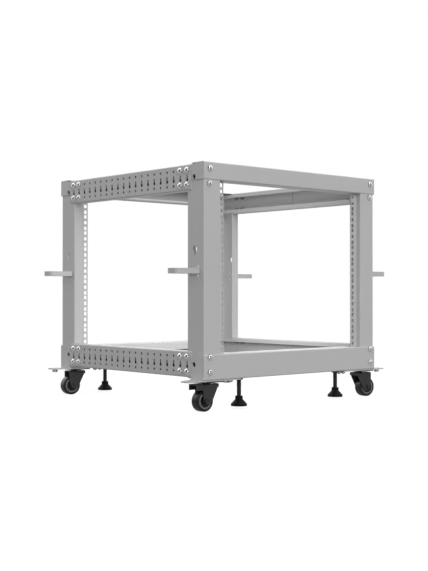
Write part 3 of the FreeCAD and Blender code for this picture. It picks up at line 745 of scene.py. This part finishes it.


# wheels and axle nuts

wheelSettings = {
    "sides": 72,
    "tyreRadius": 0.0250,
    "tyreWidth": 0.0220,
    "treadBevel": 0.0026,
    "tyreStep": 0.0012,
    "ringRadius": 0.0190,
    "ringInner": 0.0152,
    "ringProud": 0.0002,
    "ringBevel": 0.0004,
    "ringSink": 0.0042,
    "discBack": 0.0009,
    "discDepth": 0.0030,
    "hubRadius": 0.0080,
    "hubReach": 0.0124,
    "axleAcross": 0.0110,
    "axleNut": 0.0035,
    "cheekOut": 0.0155,
}


def makeTyre():
    values = wheelSettings
    half = values["tyreWidth"] / 2
    tyre = newCylinder("tyreMaster", values["tyreRadius"], -half, half, values["sides"])
    for level in (half, -half):
        bevelEdges(tyre, rimEdges(level), values["treadBevel"], 6)
    flat = values["tyreRadius"] - values["treadBevel"]
    for side in (1, -1):
        stepEnd(tyre, side, [
            (flat - values["ringRadius"], 0.0),
            (0.0002, -values["tyreStep"]),
            (0.0012, 0.0),
        ])
    smooth(tyre, 40.0)
    return tyre


def makeWheelRing():
    values = wheelSettings
    half = values["tyreWidth"] / 2 + values["ringProud"]
    ring = newCylinder("ringMaster", values["ringRadius"], -half, half, values["sides"])
    for side in (1, -1):
        bevelEdges(ring, rimEdges(half * side), values["ringBevel"], 2)
        stepEnd(ring, side, [
            (values["ringRadius"] - values["ringInner"] - values["ringBevel"], 0.0),
            (0.0004, -values["ringSink"]),
            (0.0030, 0.0),
        ])
    smooth(ring, 40.0)
    return ring


def makeWheelDisc():
    values = wheelSettings
    half = values["tyreWidth"] / 2 - values["discBack"]
    disc = newCylinder("discMaster", values["ringInner"] - 0.0002, -half, half, values["sides"])
    for side in (1, -1):
        stepEnd(disc, side, [
            (0.0010, 0.0),
            (0.0005, values["discBack"] - values["discDepth"]),
            (values["ringInner"] - 0.0017 - values["hubRadius"] - 0.0004, 0.0),
            (0.0004, values["hubReach"] - values["tyreWidth"] / 2 + values["discDepth"]),
            (0.0008, 0.0001),
        ])
    smooth(disc, 40.0)
    return disc


def placeWheels():
    values = wheelSettings
    tyre, ring, disc = makeTyre(), makeWheelRing(), makeWheelDisc()
    nut = makeHex("axleNutMaster", values["axleAcross"], values["axleNut"])
    for corner in cornerNames:
        joint = joints[f"{corner}_wheel_spin"]
        middle, axis = Vector(joint["pos_m"]), Vector(joint["axis"])
        place = facing(axis, middle)
        body = f"{corner}_wheel"
        name = camelName(corner)
        wheel = dress(copyPiece(tyre, name + "Tyre", place), "tyreRubber",
                      body)
        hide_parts(f"{corner}_caster_wheel")
        dress(copyPiece(ring, name + "WheelRing", place), "greyWheelRing",
              body)
        dress(copyPiece(disc, name + "WheelDisc", place), "darkWheelDisc",
              body)
        copies = [
            copyPiece(nut, "axleNut",
                      facing(axis * side, middle + axis * side * values["cheekOut"]))
            for side in (-1, 1)
        ]
        nuts = joinPieces(name + "AxleNuts", copies)
        dress(nuts, "blackOxide", f"{corner}_swivel")
    for master in (tyre, ring, disc, nut):
        removePiece(master)


placeWheels()
print("wheels are dressed")


# levelling feet

footSettings = {
    "pitch": 0.0015,
    "rootRadius": 0.0049,
    "crestRadius": 0.0054,
    "steps": 20,
    "crestFrom": 0.42,  # shares of the pitch
    "crestTo": 0.58,
    "endBevel": 0.0008,
    "boreOvercut": 0.001,
}


def makeThread(length):
    values = footSettings
    turns = int(length / values["pitch"])
    clearSelection()
    bpy.ops.mesh.primitive_circle_add(vertices=3, radius=values["pitch"] / 2)
    thread = bpy.context.object
    thread.name = "threadMaster"
    profile = bmesh.new()
    root, crest, pitch = values["rootRadius"], values["crestRadius"], values["pitch"]
    points = [(root, 0.0), (crest, pitch * values["crestFrom"]),
              (crest, pitch * values["crestTo"]), (root, pitch)]
    rows = [profile.verts.new((radius, 0.0, height)) for radius, height in points]
    for first, second in zip(rows, rows[1:]):
        profile.edges.new((first, second))
    profile.to_mesh(thread.data)
    profile.free()
    pick(thread)
    screw = thread.modifiers.new("helix", "SCREW")
    screw.axis = "Z"
    screw.angle = math.radians(360)
    screw.screw_offset = values["pitch"]
    screw.iterations = turns
    screw.steps = values["steps"]
    screw.render_steps = values["steps"]
    screw.use_merge_vertices = True
    bpy.ops.object.modifier_apply(modifier="helix")
    core = newCylinder("threadCore", root, 0.0, length, 24)
    bevelEdges(core, rimEdges(length), values["endBevel"], 2)
    whole = joinPieces("threadMaster", [thread, core])
    smooth(whole, 30.0)
    return whole


def makeJamNut():
    values = hexSettings
    nut = makeHex("jamNutMaster", values["jamAcross"], values["jamHeight"])
    over = footSettings["boreOvercut"]
    hole = newCylinder("jamBore", values["jamBore"], -over, values["jamHeight"] + over, 24)
    pick(nut)
    cut = nut.modifiers.new("bore", "BOOLEAN")
    cut.operation = "DIFFERENCE"
    cut.object = hole
    bpy.ops.object.modifier_apply(modifier="bore")
    removePiece(hole)
    smooth(nut, 25.0)
    return nut


def placeFeet():
    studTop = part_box("front_left_foot_stud")[1].z
    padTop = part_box("front_left_foot_pad")[1].z
    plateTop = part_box("front_left_corner_plate")[1].z
    thread = makeThread(studTop - padTop)
    nut = makeJamNut()
    for corner in cornerNames:
        low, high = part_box(f"{corner}_foot_stud")
        spot = ((low.x + high.x) / 2, (low.y + high.y) / 2)
        name = camelName(corner)
        stud = copyPiece(thread, name + "FootThread",
                         Matrix.Translation((*spot, padTop)))
        dress(stud, "blackOxide", f"{corner}_foot")
        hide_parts(f"{corner}_foot_stud")
        jam = copyPiece(nut, name + "FootNut",
                        facing((0, 0, -1), (*spot, plateTop)))
        dress(jam, "blackOxide", "frame")
    removePiece(thread)
    removePiece(nut)


placeFeet()
print("levelling feet are dressed")

clearSelection()
